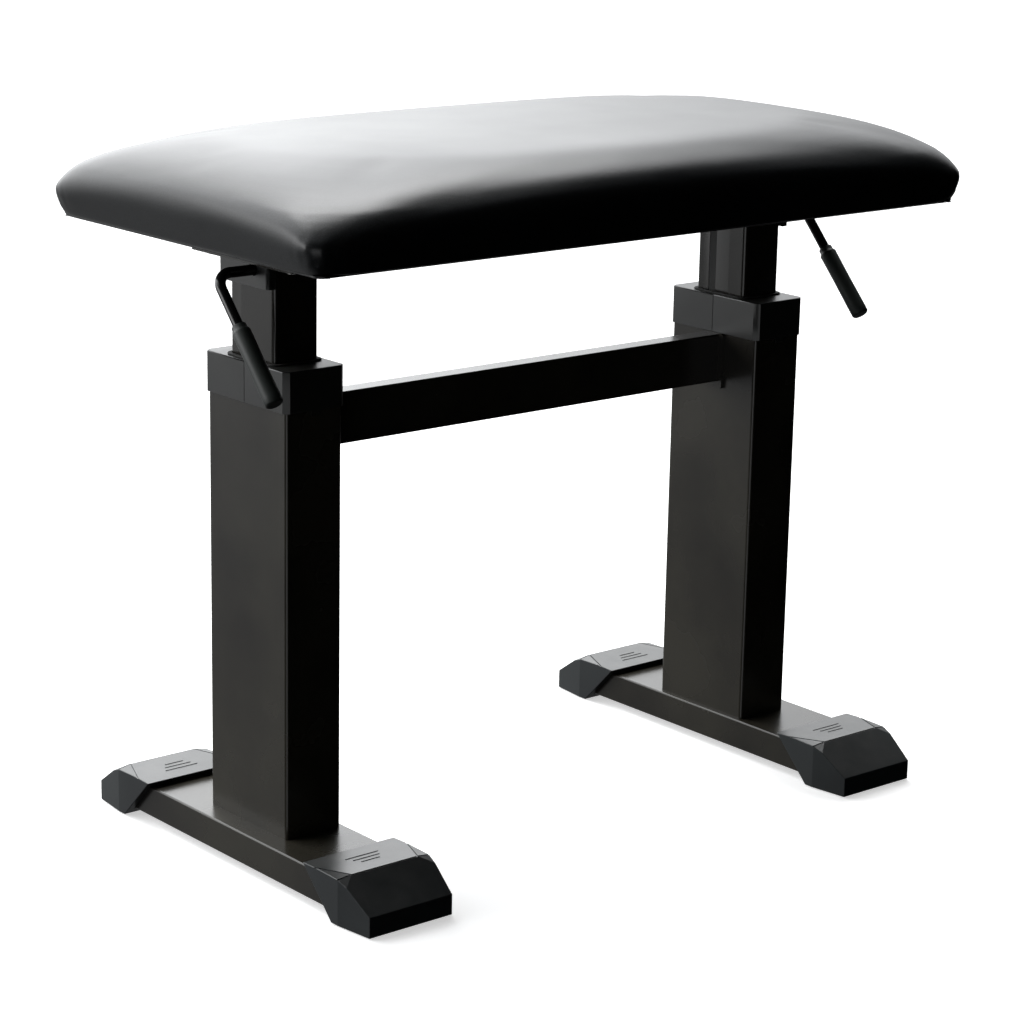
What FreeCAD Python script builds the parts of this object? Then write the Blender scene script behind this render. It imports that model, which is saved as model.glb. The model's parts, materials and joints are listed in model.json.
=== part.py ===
import FreeCAD, Part
import math
import os
from FreeCAD import Vector

# Height-adjustable piano bench. Millimetres, +Z up, -Y is the player's front, +X is the right leg.
# The origin is on the floor, midway between the legs. Every leg piece is drawn on the right side
# and mirrored in X = 0 for the left side.

# --- driving dimensions -------------------------------------------------------------------
LEG_X = 235.0                 # centre of each column
BASE_X = 241.8                # centre of each base bar, which stands a little outboard

PAD_SIZE = (54.0, 16.0)
PAD_Y = 168.0
PAD_THICK = 3.0               # the pads rest on the floor, z = 0
CAP_BOTTOM = 0.6              # the rubber pad stands this far below the moulded cap

BAR_WIDTH = 71.3
BAR_BOTTOM = 6.0
BAR_TOP = 31.0
BAR_HALF_LENGTH = 150.0
BAR_WALL = 2.0
BAR_CORNER = 1.5

COLUMN_BOLT_Y = 30.0
COLUMN_BOLT_RADIUS = 4.0
BASE_PLATE_THICK = 8.0        # steel plate welded in the column's foot

CAP_WIDTH = 83.4
CAP_END_Y = 179.0             # outer end of the cap
CAP_END_TOP = 16.5            # top of its upright end face
CAP_SLOPE_Y = 147.0           # where the sloped face meets the flat top
CAP_TOP = 38.0
CAP_INNER_Y = 103.0           # inner end of the flat top
CAP_INNER_TOP = 36.3
FOOT_Y = 138.0                # the inner end slants back to here at the foot
FACET_Y = 146.0               # the sides are faceted from here to the end
FACET_IN = 4.0
# points the two facets at each front corner pass through, from the cap's centre line
CORNER_A = Vector(41.7, -118.0, 36.88)
CORNER_B = Vector(30.0, -147.0, 38.0)
CORNER_C = Vector(41.7, -145.7, 36.2)
CORNER_D = Vector(40.9, -155.5, 32.3)
SOCKET_CLEAR = 0.2
CAP_SCREW_Y = 144.5
CAP_SCREW_RADIUS = 2.0
CAP_SCREW_SEAT = 3.4          # top of the countersink, above the floor
GRIP_RIBS = ((119.0, 30.0), (124.5, 24.0), (130.0, 17.0))     # y and length of each grip rib
GRIP_RIB_WIDTH = 1.2

COLUMN_X = 50.0
COLUMN_Y = 100.0
COLUMN_WALL = 2.0
COLUMN_TOP = 384.4
COLUMN_CORNER = 3.0

COLLAR_X = 54.0
COLLAR_Y = 104.0
COLLAR_BOTTOM = 357.6
COLLAR_TOP = 388.5
COLLAR_CHAMFER = 4.0
COLLAR_SEAM = 0.7
COLLAR_TAB = 8.0              # width of the snap tab below each narrow face

INNER_X = 40.0
INNER_Y = 56.0
INNER_WALL = 3.5
INNER_BOTTOM = 120.0
INNER_RADIUS = 4.0
INNER_STEP = 0.8              # depth of the stepped strip on the wide faces
INNER_STEP_Y = (-9.8, 13.7)   # where it starts, on the inward and the outward face
INNER_GROOVE_Y = (6.2, 14.6)
INNER_GROOVE = 2.6

PLATE_BOTTOM = 462.0          # seat plate, welded on the inner column
PLATE_THICK = 3.0
PLATE_HALF_Y = 66.0
PLATE_INNER_X = 185.0
PLATE_OUTER_X = 265.0
PLATE_CORNER = 5.0

RAIL_Y = 50.0                 # the two rails under the board
RAIL_WIDTH = 30.0
RAIL_WALL = 1.5
RAIL_SHORT = 3.0              # the rails end this far inside the plates' outer edges
SEAT_SCREW_X = (197.0, 253.0)
SEAT_SCREW_Y = 50.0
SEAT_SCREW_RADIUS = 2.5
SEAT_SCREW_TOP = 489.0

SEAT_BOTTOM = 479.4
SEAT_WAIST = 508.0            # the seat is widest here
SEAT_TOP = 546.0
SEAT_BOTTOM_SIZE = (633.0, 334.0)
SEAT_BOTTOM_CORNER = 14.0
SEAT_SIZE = (642.0, 343.0)
SEAT_CORNER = 20.0
CROWN_REACH = (88.0, 62.0)    # how far in from the ends and the sides the crown still rises
CROWN_CORNER = 50.0           # corner radius of the flat middle
CROWN_STEPS = 6
BOARD_INSET = 6.0
BOARD_THICK = 12.0
BOARD_CORNER = 10.0
DUST_COVER_THICK = 1.0

CROSSBAR_BOTTOM = 316.5
CROSSBAR_TOP = 356.5
CROSSBAR_DEPTH = 18.0
CROSSBAR_WALL = 1.5
CROSSBAR_CORNER = 1.5
CROSSBAR_SCREW_Z = (326.5, 346.5)
CROSSBAR_SCREW_RADIUS = 3.0
FLANGE_THICK = 3.0
FLANGE_WIDTH = 28.0
FLANGE_BELOW = 5.5            # the flange reaches this far below the bar
BLOCK_LENGTH = 18.0           # tapped block inside each end of the bar
BLOCK_CLEAR = 0.1

PIVOT_Y = -12.0               # lever pivot, along X
PIVOT_Z = 457.5
LEVER_X = 295.0               # plane of the lever's hanging leg
LEVER_DROP = 48.0             # degrees below the horizontal
LEVER_LENGTH = 110.0          # corner to the end of the grip
LEVER_BEND = 13.0
ROD_RADIUS = 4.0
ROD_INNER_END = 16.0          # the pivot starts this far inboard of the column's centre
GRIP_LENGTH = 66.0
GRIP_RADIUS = 6.9
GRIP_NECK = 3.0
GRIP_END_FILLET = 1.6
GRIP_END_WALL = 8.0           # solid end of the grip beyond the rod
LEG_DIRECTION = Vector(0, -math.cos(math.radians(LEVER_DROP)), -math.sin(math.radians(LEVER_DROP)))
ROD_IN_GRIP = LEVER_LENGTH - GRIP_END_WALL
BUSH_RADIUS = 6.0
BUSH_RIM = 1.5
HOUSING_DEPTH = 7.0
HOUSING_Y = (-30.0, 32.0)
HOUSING_BOTTOM = 445.0
HOUSING_WALL = 1.8

SPRING_RADIUS = 14.0          # gas spring cylinder
SPRING_BOTTOM = 100.0
SPRING_TOP = 436.0
CYLINDER_WALL = 1.5
GLAND_LENGTH = 15.0
HEAD_LENGTH = 12.0
MOUNT_THICK = 5.0             # plate and nut that hold the spring in the inner column
NUT_FLAT_RADIUS = 12.0
PISTON_ROD_RADIUS = 5.0
PISTON_BOTTOM = 195.0
PISTON_LENGTH = 12.0
NECK_RADIUS = 8.0
NECK_TOP = 447.0
PIN_RADIUS = 3.0
PIN_BOTTOM = 428.0
NOSE_RADIUS = 3.0             # rounded end of the release finger
NOSE_Z = 455.5
NOSE_GAP = 0.2                # between the nose and the pin at rest
FINGER_HALF_WIDTH = 4.0

RUN_CLEAR = 0.05              # radial clearance of a shaft in its bore
GAP = 0.3                     # clearance between sliding flat faces
PAST = 1.0                    # cutting shapes stand this far past what they cut

os.makedirs("parts", exist_ok=True)


# --- helpers ------------------------------------------------------------------------------
def box(x0, x1, y0, y1, z0, z1):
    return Part.makeBox(x1 - x0, y1 - y0, z1 - z0, Vector(x0, y0, z0))


def centred_box(cx, cy, size_x, size_y, z0, z1):
    return box(cx - size_x / 2, cx + size_x / 2, cy - size_y / 2, cy + size_y / 2, z0, z1)


def round_upright_edges(shape, radius):
    upright = [e for e in shape.Edges if abs(e.tangentAt(e.FirstParameter).z) > 0.999]
    return shape.makeFillet(radius, upright)


def rounded_bar(cx, cy, size_x, size_y, z0, z1, radius):
    return round_upright_edges(centred_box(cx, cy, size_x, size_y, z0, z1), radius)


def upright_tube(cx, size_x, size_y, wall, z0, z1, radius):
    outside = rounded_bar(cx, 0, size_x, size_y, z0, z1, radius)
    inside_radius = max(radius - wall, 0.5)
    inside = rounded_bar(cx, 0, size_x - 2 * wall, size_y - 2 * wall, z0 - 1, z1 + 1, inside_radius)
    return outside.cut(inside)


def cylinder_z(cx, cy, radius, z0, z1):
    return Part.makeCylinder(radius, z1 - z0, Vector(cx, cy, z0), Vector(0, 0, 1))


def cylinder_x(x0, x1, cy, cz, radius):
    return Part.makeCylinder(radius, x1 - x0, Vector(x0, cy, cz), Vector(1, 0, 0))


def side_profile(points, x0, x1):
    """Closed outline of (y, z) corners, extruded from x0 to x1."""
    corners = [Vector(x0, y, z) for y, z in points]
    wire = Part.makePolygon(corners + corners[:1])
    return Part.Face(wire).extrude(Vector(x1 - x0, 0, 0))


def plan_profile(points, z0, z1):
    """Closed outline of (x, y) corners, extruded from z0 to z1."""
    corners = [Vector(x, y, z0) for x, y in points]
    wire = Part.makePolygon(corners + corners[:1])
    return Part.Face(wire).extrude(Vector(0, 0, z1 - z0))


def save(node, shape):
    solids = shape.Solids
    piece = solids[0] if len(solids) == 1 else Part.makeCompound(solids)
    piece.exportStep("parts/" + node + ".step")


def mirror_x(shape):
    return shape.mirror(Vector(0, 0, 0), Vector(1, 0, 0))


def mirror_y(shape):
    return shape.mirror(Vector(0, 0, 0), Vector(0, 1, 0))


def save_pair(name, right_shape):
    save("right_" + name, right_shape)
    save("left_" + name, mirror_x(right_shape))


def all_four(shape):
    """The right front shape, with its copies at the other three corners."""
    front = [shape, mirror_x(shape)]
    return front + [mirror_y(s) for s in front]


# --- base bars, end caps and foot pads ----------------------------------------------------
def base_bar():
    outside = side_profile(
        [(-BAR_HALF_LENGTH, BAR_BOTTOM), (BAR_HALF_LENGTH, BAR_BOTTOM),
         (BAR_HALF_LENGTH, BAR_TOP), (-BAR_HALF_LENGTH, BAR_TOP)],
        BASE_X - BAR_WIDTH / 2, BASE_X + BAR_WIDTH / 2)
    long_edges = [e for e in outside.Edges if abs(e.tangentAt(e.FirstParameter).y) > 0.999]
    outside = outside.makeFillet(BAR_CORNER, long_edges)
    inside = box(BASE_X - BAR_WIDTH / 2 + BAR_WALL, BASE_X + BAR_WIDTH / 2 - BAR_WALL,
                 -BAR_HALF_LENGTH - PAST, BAR_HALF_LENGTH + PAST, BAR_BOTTOM + BAR_WALL,
                 BAR_TOP - BAR_WALL)
    bar = outside.cut(inside)
    for y in (-COLUMN_BOLT_Y, COLUMN_BOLT_Y):
        bar = bar.cut(cylinder_z(LEG_X, y, COLUMN_BOLT_RADIUS, 0, BAR_TOP + PAST))
    for y in (-CAP_SCREW_Y, CAP_SCREW_Y):
        bar = bar.cut(cylinder_z(BASE_X, y, CAP_SCREW_RADIUS, 0, BAR_BOTTOM + BAR_WALL + PAST))
    return bar


def front_end_cap():
    """Moulded cap over the front end of the right bar; it also makes the foot."""
    half = CAP_WIDTH / 2
    profile = side_profile(
        [(-CAP_INNER_Y, CAP_INNER_TOP), (-CAP_SLOPE_Y, CAP_TOP), (-CAP_END_Y, CAP_END_TOP),
         (-CAP_END_Y, CAP_BOTTOM), (-FOOT_Y, CAP_BOTTOM)],
        BASE_X - half, BASE_X + half)
    right_side = [(half, -CAP_INNER_Y + PAST), (half, -FACET_Y), (half - FACET_IN, -CAP_END_Y)]
    left_side = [(-x, y) for x, y in reversed(right_side)]
    plan = plan_profile([(BASE_X + x, y) for x, y in right_side + left_side], 0, CAP_TOP + PAST)
    cap = profile.common(plan)
    for sign in (-1, 1):
        cap = cap.cut(space_above((CORNER_A, CORNER_B, CORNER_C), sign))
        cap = cap.cut(space_above((CORNER_B, CORNER_C, CORNER_D), sign))
    reach = BAR_HALF_LENGTH + 0.5
    cap = cap.cut(box(BASE_X - BAR_WIDTH / 2 - SOCKET_CLEAR, BASE_X + BAR_WIDTH / 2 + SOCKET_CLEAR,
                      -reach, -CAP_INNER_Y + 5, BAR_BOTTOM - SOCKET_CLEAR, BAR_TOP + SOCKET_CLEAR))
    cap = cap.cut(centred_box(BASE_X, -PAD_Y, PAD_SIZE[0] + SOCKET_CLEAR,
                              PAD_SIZE[1] + SOCKET_CLEAR, 0, PAD_THICK))
    cap = cap.cut(cylinder_z(BASE_X, -CAP_SCREW_Y, CAP_SCREW_RADIUS, 0, BAR_BOTTOM))
    cap = cap.cut(cylinder_z(BASE_X, -CAP_SCREW_Y, 4.2, 0, CAP_SCREW_SEAT))
    for rib_y, rib_length in GRIP_RIBS:
        cap = cap.fuse(centred_box(BASE_X, -rib_y, rib_length, GRIP_RIB_WIDTH, CAP_TOP - 2.5, CAP_TOP - 0.4))
    return cap.removeSplitter()


def space_above(corners, sign):
    """Block of space above the plane through three corner points, on one side of the cap."""
    a, b, c = [Vector(BASE_X + sign * p.x, p.y, p.z) for p in corners]
    normal = (b - a).cross(c - a)
    if normal.z < 0:
        normal = normal * -1
    normal.normalize()
    across = normal.cross(Vector(0, 1, 0))
    across.normalize()
    along = across.cross(normal)
    reach = CAP_WIDTH
    ways = ((-1, -1), (1, -1), (1, 1), (-1, 1))
    outline = [a + across * (reach * i) + along * (reach * j) for i, j in ways]
    return Part.Face(Part.makePolygon(outline + outline[:1])).extrude(normal * CAP_TOP)


def foot_pad():
    return centred_box(BASE_X, -PAD_Y, PAD_SIZE[0], PAD_SIZE[1], 0, PAD_THICK)


def cap_screw():
    head = cylinder_z(BASE_X, -CAP_SCREW_Y, 4.0, CAP_SCREW_SEAT - 1.8, CAP_SCREW_SEAT)
    shank = cylinder_z(BASE_X, -CAP_SCREW_Y, CAP_SCREW_RADIUS, CAP_SCREW_SEAT, 12)
    socket = cylinder_z(BASE_X, -CAP_SCREW_Y, 1.4, 1, 2.8)
    return head.fuse(shank).cut(socket)


# --- outer columns and what holds them ----------------------------------------------------
def outer_column():
    column = upright_tube(LEG_X, COLUMN_X, COLUMN_Y, COLUMN_WALL, BAR_TOP, COLUMN_TOP,
                          COLUMN_CORNER)
    inner_face = LEG_X - COLUMN_X / 2
    for z in CROSSBAR_SCREW_Z:
        column = column.cut(cylinder_x(inner_face - PAST, inner_face + COLUMN_WALL + PAST, 0, z,
                                       CROSSBAR_SCREW_RADIUS))
    return column


def column_base_plate():
    """Welded into the foot of the column; it takes the column bolts and the piston rod's stud."""
    plate = centred_box(LEG_X, 0, COLUMN_X - 2 * COLUMN_WALL, COLUMN_Y - 2 * COLUMN_WALL,
                        BAR_TOP, BAR_TOP + BASE_PLATE_THICK)
    plate = round_upright_edges(plate, 1.0)
    for y in (-COLUMN_BOLT_Y, COLUMN_BOLT_Y):
        plate = plate.cut(cylinder_z(LEG_X, y, COLUMN_BOLT_RADIUS, 0, 60))
    return plate.cut(cylinder_z(LEG_X, 0, PISTON_ROD_RADIUS - 1, BAR_TOP - 1, 60))


def column_bolt():
    head = cylinder_z(LEG_X, -COLUMN_BOLT_Y, 7.0, 2.8, BAR_BOTTOM)
    shank = cylinder_z(LEG_X, -COLUMN_BOLT_Y, COLUMN_BOLT_RADIUS, BAR_BOTTOM, BAR_TOP + BASE_PLATE_THICK)
    socket = cylinder_z(LEG_X, -COLUMN_BOLT_Y, 2.6, 2, 5)
    return head.fuse(shank).cut(socket)


def collar():
    """Moulded collar that caps the column and frames the inner column."""
    outside = centred_box(LEG_X, 0, COLLAR_X, COLLAR_Y, COLLAR_BOTTOM, COLLAR_TOP)
    upright = [e for e in outside.Edges if abs(e.tangentAt(e.FirstParameter).z) > 0.999]
    outside = outside.makeChamfer(COLLAR_CHAMFER, upright)
    top_edges = [e for e in outside.Edges if min(v.Z for v in e.Vertexes) > COLLAR_TOP - 0.01]
    outside = outside.makeFillet(0.8, top_edges)
    around_column = rounded_bar(LEG_X, 0, COLUMN_X + 0.1, COLUMN_Y + 0.1,
                                COLLAR_BOTTOM - PAST, COLUMN_TOP + 0.1, COLUMN_CORNER)
    mouth = rounded_bar(LEG_X, 0, INNER_X + 2.0, INNER_Y + 2.0, COLUMN_TOP - PAST,
                        COLLAR_TOP + PAST, INNER_RADIUS + 1)
    body = outside.cut(around_column).cut(mouth)
    for sign in (-1, 1):
        seam_y = sign * COLLAR_Y / 2
        tab = centred_box(LEG_X, seam_y - sign * 0.45, COLLAR_TAB, 0.9, COLLAR_BOTTOM - 4, COLLAR_BOTTOM + 2)
        body = body.fuse(tab)
        face_x = LEG_X + sign * COLLAR_X / 2
        body = body.cut(centred_box(face_x, 0, 0.8, COLLAR_SEAM, COLLAR_BOTTOM - PAST, COLLAR_TOP + PAST))
    return body.removeSplitter()


def upper_guide():
    """Nylon sleeve in the column's mouth; the inner column slides in it."""
    outside = centred_box(LEG_X, 0, COLUMN_X - 2 * COLUMN_WALL, COLUMN_Y - 2 * COLUMN_WALL,
                          COLLAR_BOTTOM, COLUMN_TOP)
    outside = round_upright_edges(outside, 1.0)
    bore = rounded_bar(LEG_X, 0, INNER_X + 2 * GAP, INNER_Y + 2 * GAP, COLLAR_BOTTOM - 1,
                       COLUMN_TOP + 1, INNER_RADIUS)
    return outside.cut(bore)


# --- crossbar -----------------------------------------------------------------------------
def crossbar():
    reach = LEG_X - COLUMN_X / 2 - FLANGE_THICK
    outside = box(-reach, reach, -CROSSBAR_DEPTH / 2, CROSSBAR_DEPTH / 2, CROSSBAR_BOTTOM, CROSSBAR_TOP)
    long_edges = [e for e in outside.Edges if abs(e.tangentAt(e.FirstParameter).x) > 0.999]
    outside = outside.makeFillet(CROSSBAR_CORNER, long_edges)
    wall = CROSSBAR_WALL
    inside = box(-reach - 1, reach + 1, -CROSSBAR_DEPTH / 2 + wall, CROSSBAR_DEPTH / 2 - wall,
                 CROSSBAR_BOTTOM + wall, CROSSBAR_TOP - wall)
    return outside.cut(inside)


def crossbar_flange():
    """End plate of the crossbar, with a tapped block that fills the tube's end."""
    face_x = LEG_X - COLUMN_X / 2
    plate = box(face_x - FLANGE_THICK, face_x, -FLANGE_WIDTH / 2, FLANGE_WIDTH / 2,
                CROSSBAR_BOTTOM - FLANGE_BELOW, COLLAR_BOTTOM - 0.2)
    plate_edges = [e for e in plate.Edges if abs(e.tangentAt(e.FirstParameter).x) > 0.999]
    plate = plate.makeFillet(2.0, plate_edges)
    skin = CROSSBAR_WALL + BLOCK_CLEAR
    block = box(face_x - FLANGE_THICK - BLOCK_LENGTH, face_x - FLANGE_THICK,
                -CROSSBAR_DEPTH / 2 + skin, CROSSBAR_DEPTH / 2 - skin,
                CROSSBAR_BOTTOM + skin, CROSSBAR_TOP - skin)
    flange = plate.fuse(block)
    for z in CROSSBAR_SCREW_Z:
        flange = flange.cut(cylinder_x(face_x - 15, face_x + 1, 0, z, CROSSBAR_SCREW_RADIUS))
    return flange.removeSplitter()


def crossbar_screw(z):
    inner_wall = LEG_X - COLUMN_X / 2 + COLUMN_WALL
    head = cylinder_x(inner_wall, inner_wall + 2.2, 0, z, 5.0)
    shank = cylinder_x(inner_wall - 16, inner_wall, 0, z, CROSSBAR_SCREW_RADIUS)
    socket = cylinder_x(inner_wall + 1, inner_wall + 3, 0, z, 2.0)
    return head.fuse(shank).cut(socket)


# --- gas springs --------------------------------------------------------------------------
def gas_cylinder():
    body = cylinder_z(LEG_X, 0, SPRING_RADIUS, SPRING_BOTTOM, SPRING_TOP)
    neck = cylinder_z(LEG_X, 0, NECK_RADIUS, SPRING_TOP, NECK_TOP)
    chamber = cylinder_z(LEG_X, 0, SPRING_RADIUS - CYLINDER_WALL, SPRING_BOTTOM + GLAND_LENGTH,
                         SPRING_TOP - HEAD_LENGTH)
    gland = cylinder_z(LEG_X, 0, PISTON_ROD_RADIUS + RUN_CLEAR, SPRING_BOTTOM - 1,
                       SPRING_BOTTOM + GLAND_LENGTH)
    pin_bore = cylinder_z(LEG_X, 0, PIN_RADIUS + RUN_CLEAR, SPRING_TOP - HEAD_LENGTH, NECK_TOP + 1)
    return body.fuse(neck).cut(chamber).cut(gland).cut(pin_bore)


def piston_rod():
    """Rod and piston; its stud screws into the column's base plate."""
    plate_top = BAR_TOP + BASE_PLATE_THICK
    stud = cylinder_z(LEG_X, 0, PISTON_ROD_RADIUS - 1, BAR_TOP, plate_top)
    rod = cylinder_z(LEG_X, 0, PISTON_ROD_RADIUS, plate_top, PISTON_BOTTOM)
    piston = cylinder_z(LEG_X, 0, SPRING_RADIUS - CYLINDER_WALL - RUN_CLEAR, PISTON_BOTTOM,
                        PISTON_BOTTOM + PISTON_LENGTH)
    return stud.fuse(rod).fuse(piston)


def spring_mount():
    """Plate welded across the top of the inner column, which the gas spring pushes on."""
    plate = centred_box(LEG_X, 0, INNER_X - 2 * INNER_WALL, INNER_Y - 2 * INNER_WALL,
                        SPRING_TOP, SPRING_TOP + MOUNT_THICK)
    plate = round_upright_edges(plate, 0.6)
    return plate.cut(cylinder_z(LEG_X, 0, NECK_RADIUS, SPRING_TOP - PAST, SPRING_TOP + MOUNT_THICK + PAST))


def spring_nut():
    """Hexagon nut on the spring's neck, above the mount."""
    corner_radius = NUT_FLAT_RADIUS / math.cos(math.radians(30))
    corners = []
    for i in range(6):
        turn = math.radians(60 * i)
        corners.append((LEG_X + corner_radius * math.cos(turn), corner_radius * math.sin(turn)))
    z0 = SPRING_TOP + MOUNT_THICK
    nut = plan_profile(corners, z0, z0 + MOUNT_THICK)
    return nut.cut(cylinder_z(LEG_X, 0, NECK_RADIUS, z0 - PAST, z0 + MOUNT_THICK + PAST))


def release_pin():
    return cylinder_z(LEG_X, 0, PIN_RADIUS, PIN_BOTTOM, NOSE_Z - NOSE_RADIUS - NOSE_GAP)


# --- inner columns ------------------------------------------------------------------------
def inner_column():
    column = upright_tube(LEG_X, INNER_X, INNER_Y, INNER_WALL, INNER_BOTTOM, PLATE_BOTTOM, INNER_RADIUS)
    inward = LEG_X - INNER_X / 2
    outward = LEG_X + INNER_X / 2
    half_y = INNER_Y / 2
    bottom = INNER_BOTTOM - PAST
    groove_top = PLATE_BOTTOM - 6
    inward_step, outward_step = INNER_STEP_Y
    column = column.cut(box(inward - PAST, inward + INNER_STEP, inward_step, half_y + PAST, bottom,
                            groove_top))
    column = column.cut(box(inward - PAST, inward + INNER_GROOVE, *INNER_GROOVE_Y, bottom, groove_top))
    column = column.cut(box(outward - INNER_STEP, outward + PAST, outward_step, half_y + PAST, bottom,
                            HOUSING_BOTTOM))
    return column.cut(cylinder_x(outward - 8, outward + 1, PIVOT_Y, PIVOT_Z, BUSH_RADIUS))


def lower_guide():
    """Nylon block on the foot of the inner column, running in the outer column."""
    outside = centred_box(LEG_X, 0, COLUMN_X - 2 * COLUMN_WALL - 2 * GAP,
                          COLUMN_Y - 2 * COLUMN_WALL - 2 * GAP, INNER_BOTTOM - 6, INNER_BOTTOM + 26)
    outside = round_upright_edges(outside, 1.5)
    pocket = rounded_bar(LEG_X, 0, INNER_X, INNER_Y, INNER_BOTTOM, INNER_BOTTOM + 40, INNER_RADIUS)
    way = cylinder_z(LEG_X, 0, SPRING_RADIUS + 1, INNER_BOTTOM - 10, INNER_BOTTOM + 1)
    return outside.cut(pocket).cut(way)


def lever_housing():
    """Moulded cover on the column's outer face; the lever's pivot comes out through it."""
    outward = LEG_X + INNER_X / 2
    front_y, rear_y = HOUSING_Y
    shell = box(outward, outward + HOUSING_DEPTH, front_y, rear_y, HOUSING_BOTTOM, PLATE_BOTTOM)
    corners = [e for e in shell.Edges
               if abs(e.tangentAt(e.FirstParameter).z) > 0.999 and e.Vertexes[0].X > outward + 1]
    shell = shell.makeFillet(3.0, corners)
    hollow = box(outward - PAST, outward + HOUSING_DEPTH - HOUSING_WALL, front_y + HOUSING_WALL,
                 rear_y - HOUSING_WALL, HOUSING_BOTTOM + HOUSING_WALL, PLATE_BOTTOM - HOUSING_WALL)
    slot_half = ROD_RADIUS + 0.5
    slot = box(outward - 1, outward + HOUSING_DEPTH + 1, PIVOT_Y - slot_half, PIVOT_Y + slot_half,
               PIVOT_Z, PLATE_BOTTOM + 1)
    round_end = cylinder_x(outward - 1, outward + HOUSING_DEPTH + 1, PIVOT_Y, PIVOT_Z, slot_half)
    return shell.cut(hollow).cut(slot).cut(round_end)


def lever_bush():
    outward = LEG_X + INNER_X / 2
    inner_face = outward - INNER_WALL
    barrel = cylinder_x(inner_face, outward, PIVOT_Y, PIVOT_Z, BUSH_RADIUS)
    rim = cylinder_x(inner_face - BUSH_RIM, inner_face, PIVOT_Y, PIVOT_Z, BUSH_RADIUS + BUSH_RIM)
    below_plate = box(outward - 20, outward + 1, PIVOT_Y - 10, PIVOT_Y + 10, PIVOT_Z - 10, PLATE_BOTTOM)
    bore = cylinder_x(outward - 20, outward + 1, PIVOT_Y, PIVOT_Z, ROD_RADIUS + RUN_CLEAR)
    return barrel.fuse(rim).common(below_plate).cut(bore)


def seat_plate():
    plate = box(PLATE_INNER_X, PLATE_OUTER_X, -PLATE_HALF_Y, PLATE_HALF_Y, PLATE_BOTTOM,
                PLATE_BOTTOM + PLATE_THICK)
    plate = round_upright_edges(plate, PLATE_CORNER)
    for x in SEAT_SCREW_X:
        for y in (-SEAT_SCREW_Y, SEAT_SCREW_Y):
            plate = plate.cut(cylinder_z(x, y, SEAT_SCREW_RADIUS, PLATE_BOTTOM - 1, SEAT_BOTTOM))
    return plate


# --- seat ---------------------------------------------------------------------------------
def seat_rail(y):
    """Square tube across both seat plates, under the board."""
    z0 = PLATE_BOTTOM + PLATE_THICK
    reach = PLATE_OUTER_X - RAIL_SHORT
    half = RAIL_WIDTH / 2
    outside = box(-reach, reach, y - half, y + half, z0, SEAT_BOTTOM)
    inside = box(-reach - PAST, reach + PAST, y - half + RAIL_WALL, y + half - RAIL_WALL,
                 z0 + RAIL_WALL, SEAT_BOTTOM - RAIL_WALL)
    rail = outside.cut(inside)
    for x in SEAT_SCREW_X:
        for side in (-1, 1):
            rail = rail.cut(cylinder_z(side * x, y, SEAT_SCREW_RADIUS, z0 - 1, SEAT_BOTTOM + 1))
    return rail


def pocket_sheet(z0, z1):
    """Flat sheet that fills the recess in the seat's underside."""
    return rounded_bar(0, 0, SEAT_BOTTOM_SIZE[0] - 2 * BOARD_INSET, SEAT_BOTTOM_SIZE[1] - 2 * BOARD_INSET,
                       z0, z1, BOARD_CORNER)


def drilled_for_seat_screws(sheet):
    for x in SEAT_SCREW_X:
        for x_side in (-x, x):
            for y in (-SEAT_SCREW_Y, SEAT_SCREW_Y):
                sheet = sheet.cut(cylinder_z(x_side, y, SEAT_SCREW_RADIUS, SEAT_BOTTOM - 1, SEAT_SCREW_TOP))
    return sheet


def rounded_rectangle(size_x, size_y, z, radius):
    """Wire of four lines and four quarter arcs."""
    hx = size_x / 2
    hy = size_y / 2
    arcs = []
    for quadrant in range(4):
        sx = (1, -1, -1, 1)[quadrant]
        sy = (1, 1, -1, -1)[quadrant]
        centre = Vector(sx * (hx - radius), sy * (hy - radius), z)
        arcs.append(Part.makeCircle(radius, centre, Vector(0, 0, 1), 90 * quadrant, 90 * quadrant + 90))
    outline = []
    for i, arc in enumerate(arcs):
        following = arcs[(i + 1) % 4]
        outline += [arc, Part.makeLine(arc.Vertexes[-1].Point, following.Vertexes[0].Point)]
    return Part.Wire(outline)


def crown_section(step):
    """One level of the crown: a quarter ellipse from the waist in to the flat middle."""
    turn = math.radians(90.0 * step / CROWN_STEPS)
    inset = 1 - math.cos(turn)
    return rounded_rectangle(SEAT_SIZE[0] - 2 * CROWN_REACH[0] * inset,
                             SEAT_SIZE[1] - 2 * CROWN_REACH[1] * inset,
                             SEAT_WAIST + (SEAT_TOP - SEAT_WAIST) * math.sin(turn),
                             SEAT_CORNER + (CROWN_CORNER - SEAT_CORNER) * inset)


def seat_cushion():
    """Foam and its cover: sides that flare to the waist, then a wide rounded crown."""
    sections = [rounded_rectangle(*SEAT_BOTTOM_SIZE, SEAT_BOTTOM, SEAT_BOTTOM_CORNER)]
    for step in range(CROWN_STEPS + 1):
        sections.append(crown_section(step))
    body = Part.makeLoft(sections, True, True)
    return body.cut(pocket_sheet(SEAT_BOTTOM - PAST, SEAT_BOTTOM + DUST_COVER_THICK + BOARD_THICK))


def seat_screw(x, y):
    head = cylinder_z(x, y, 5.0, PLATE_BOTTOM - 2.4, PLATE_BOTTOM)
    shank = cylinder_z(x, y, SEAT_SCREW_RADIUS, PLATE_BOTTOM, SEAT_SCREW_TOP)
    socket = cylinder_z(x, y, 1.8, PLATE_BOTTOM - 3, PLATE_BOTTOM - 1)
    return head.fuse(shank).cut(socket)


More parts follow.
